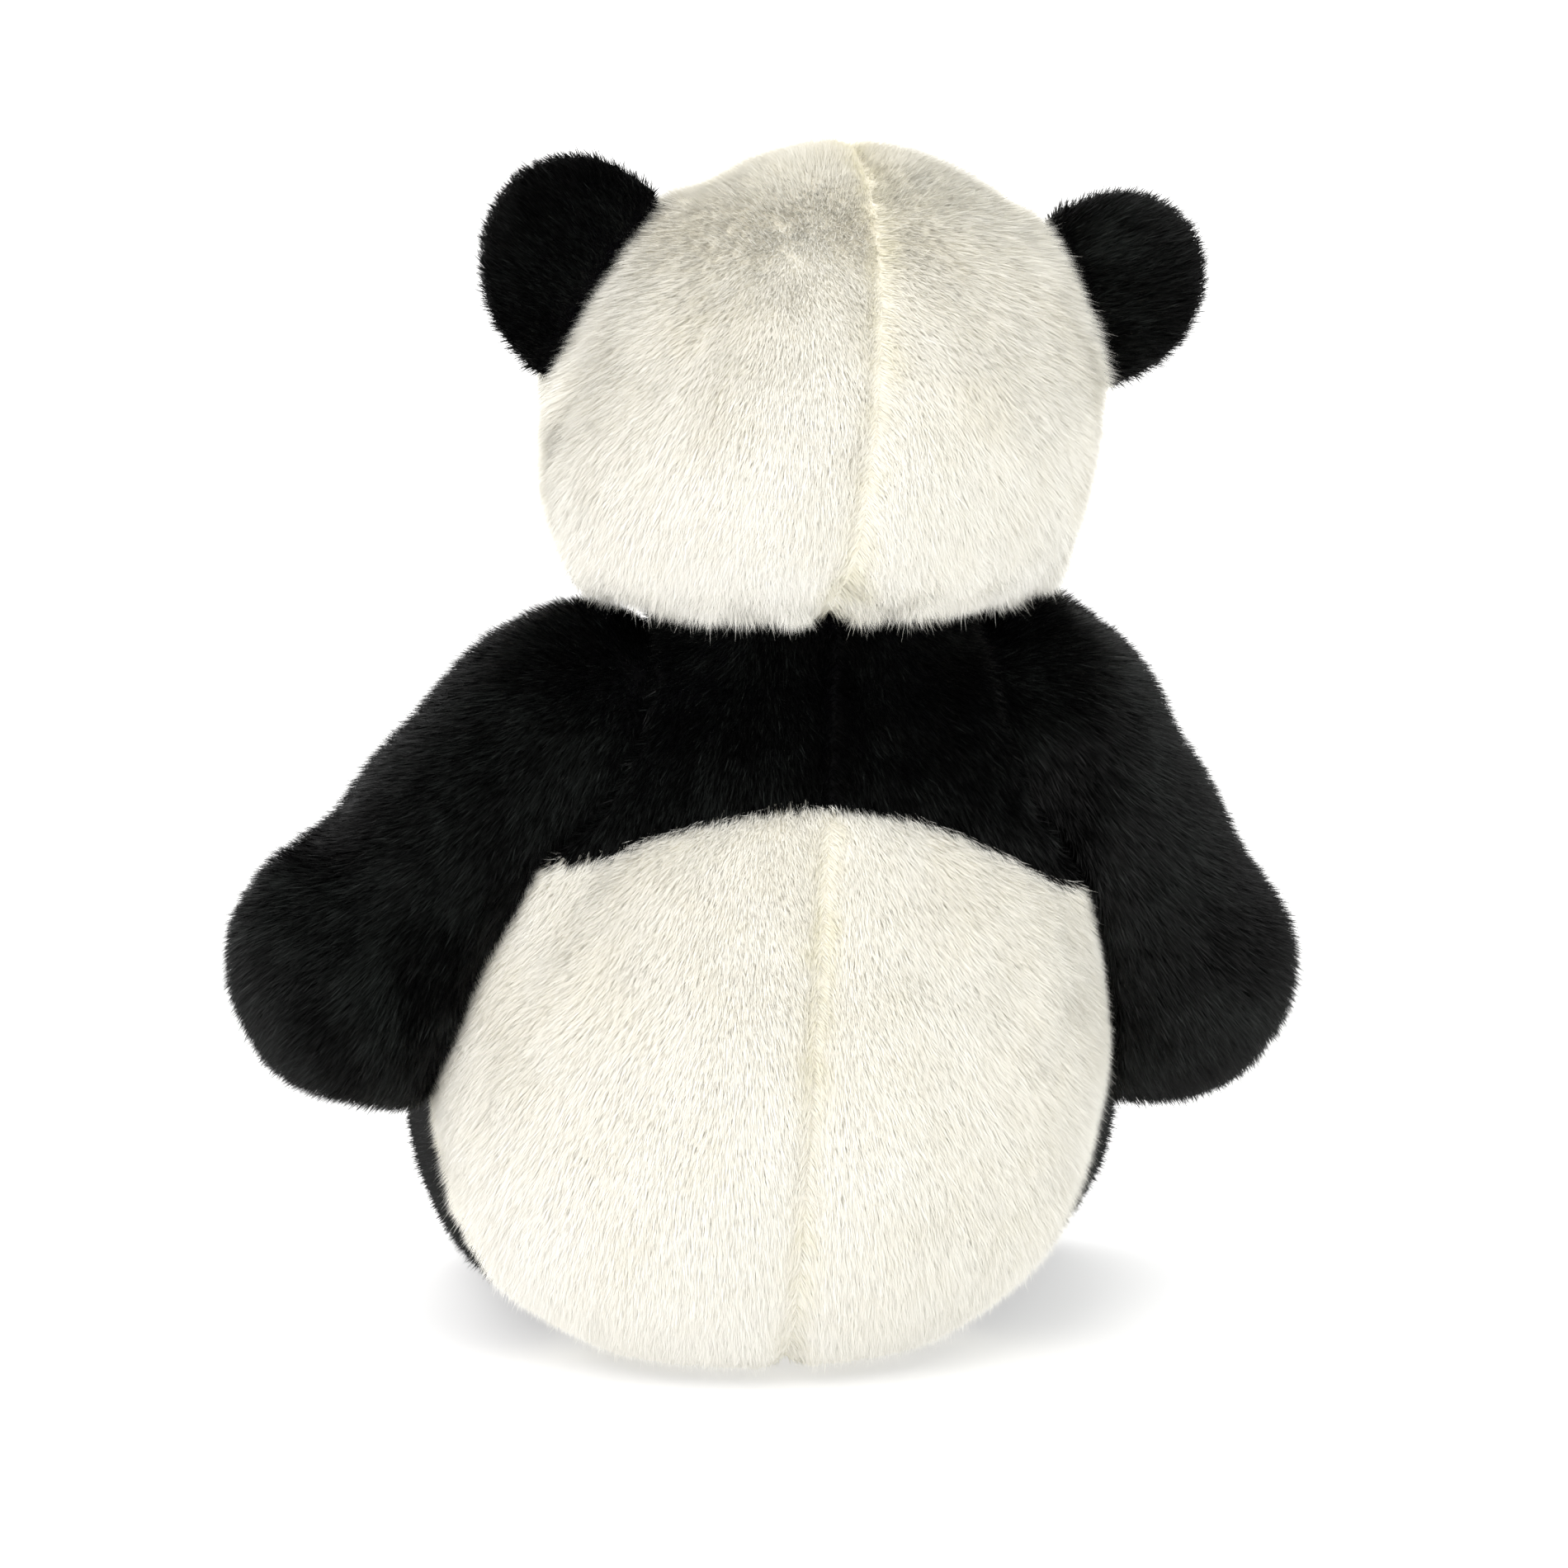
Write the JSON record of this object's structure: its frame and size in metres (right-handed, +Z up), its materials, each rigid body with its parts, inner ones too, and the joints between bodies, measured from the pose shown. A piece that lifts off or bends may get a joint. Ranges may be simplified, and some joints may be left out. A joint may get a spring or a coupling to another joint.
{
  "type": "plush panda",
  "caption": "Seated soft toy panda with a cream head and lower body, black ears, shoulders, arms and legs, sewn from pile fabric and stuffed.",
  "frame": {"origin": "centre of the flat seat, on the surface the toy sits on", "axes": "+Z up, the face and feet point to -Y, +X is the toy's own left"},
  "size_m": [0.3571, 0.2683, 0.395],
  "materials": {
    "cream_plush": "matte",
    "black_plush": "matte",
    "sole_plush": "matte",
    "stuffing": "matte",
    "eye_plastic": "gloss",
    "washer_plastic": "satin",
    "thread": "matte"
  },
  "bodies": {
    "torso": {"yoke_back_left": "black_plush", "chest_left": "black_plush", "body_back_left": "cream_plush", "belly_left": "cream_plush", "yoke_back_right": "black_plush", "chest_right": "black_plush", "body_back_right": "cream_plush", "belly_right": "cream_plush", "seat_disc": "cream_plush", "torso_stuffing": "stuffing"},
    "head": {"head_back_left": "cream_plush", "face_left": "cream_plush", "eye_patch_left": "black_plush", "eye_left": "eye_plastic", "eye_washer_left": "washer_plastic", "head_back_right": "cream_plush", "face_right": "cream_plush", "eye_patch_right": "black_plush", "eye_right": "eye_plastic", "eye_washer_right": "washer_plastic", "muzzle": "cream_plush", "nose": "eye_plastic", "nose_washer": "washer_plastic", "mouth_stitch": "thread", "head_stuffing": "stuffing"},
    "arm_left": {"arm_left_back": "black_plush", "arm_left_front": "black_plush", "arm_left_stuffing": "stuffing"},
    "arm_right": {"arm_right_back": "black_plush", "arm_right_front": "black_plush", "arm_right_stuffing": "stuffing"},
    "leg_left": {"leg_left_outer": "black_plush", "leg_left_inner": "black_plush", "sole_left": "sole_plush", "leg_left_stuffing": "stuffing"},
    "leg_right": {"leg_right_outer": "black_plush", "leg_right_inner": "black_plush", "sole_right": "sole_plush", "leg_right_stuffing": "stuffing"},
    "ear_left": {"ear_left_front": "black_plush", "ear_left_back": "black_plush"},
    "ear_right": {"ear_right_front": "black_plush", "ear_right_back": "black_plush"}
  },
  "joints": [
    {"name": "head_turn", "type": "hinge", "parent": "torso", "child": "head", "pos_m": [-0.015, 0, 0.247], "axis": [0, 0, 1], "range_deg": [-25, 25], "stiffness_Nm_per_rad": 0.12},
    {"name": "shoulder_left", "type": "hinge", "parent": "torso", "child": "arm_left", "pos_m": [0.06263, -0.004, 0.202], "axis": [0, -1, 0], "range_deg": [0, 50], "stiffness_Nm_per_rad": 0.05},
    {"name": "shoulder_right", "type": "hinge", "parent": "torso", "child": "arm_right", "pos_m": [-0.08637, -0.004, 0.202], "axis": [0, 1, 0], "range_deg": [0, 50], "stiffness_Nm_per_rad": 0.05},
    {"name": "hip_left", "type": "hinge", "parent": "torso", "child": "leg_left", "pos_m": [0.062, -0.022, 0.057], "axis": [0, 0, 1], "range_deg": [0, 20], "stiffness_Nm_per_rad": 0.2},
    {"name": "hip_right", "type": "hinge", "parent": "torso", "child": "leg_right", "pos_m": [-0.062, -0.022, 0.057], "axis": [0, 0, -1], "range_deg": [-15, 0], "stiffness_Nm_per_rad": 0.2},
    {"name": "ear_left_flap", "type": "hinge", "parent": "head", "child": "ear_left", "pos_m": [0.05516, 0.00868, 0.34896], "axis": [-0.586, -0.0309, 0.8097], "range_deg": [-15, 15], "stiffness_Nm_per_rad": 0.02},
    {"name": "ear_right_flap", "type": "hinge", "parent": "head", "child": "ear_right", "pos_m": [-0.1047, -0.00115, 0.3403], "axis": [0.3431, 0.0267, 0.9389], "range_deg": [-15, 15], "stiffness_Nm_per_rad": 0.02}
  ]
}
